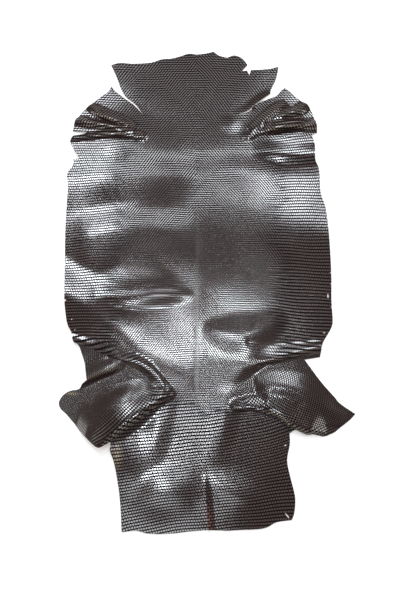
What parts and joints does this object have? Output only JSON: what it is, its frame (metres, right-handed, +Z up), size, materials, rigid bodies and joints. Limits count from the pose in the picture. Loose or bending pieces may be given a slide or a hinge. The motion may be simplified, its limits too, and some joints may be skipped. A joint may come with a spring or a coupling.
{
  "type": "leather hide",
  "caption": "Whole tanned reptile skin lying flat, scale side up: head panel, leg flaps with pleats and turned folds, broad body and slit tail panel.",
  "frame": {"origin": "centre of the bounding box at the plane the hide lies on", "axes": "+Z up from the flesh side to the scale side, +Y along the spine towards the head, +X to the right seen from above with the head away"},
  "size_m": [0.454, 0.8174, 0.0198],
  "materials": {
    "leather": "glazed brown-black reptile scale, high gloss, with a matt brown flesh side and pale worn cut edges"
  },
  "bodies": {
    "root": {"hide": "leather"}
  },
  "joints": []
}
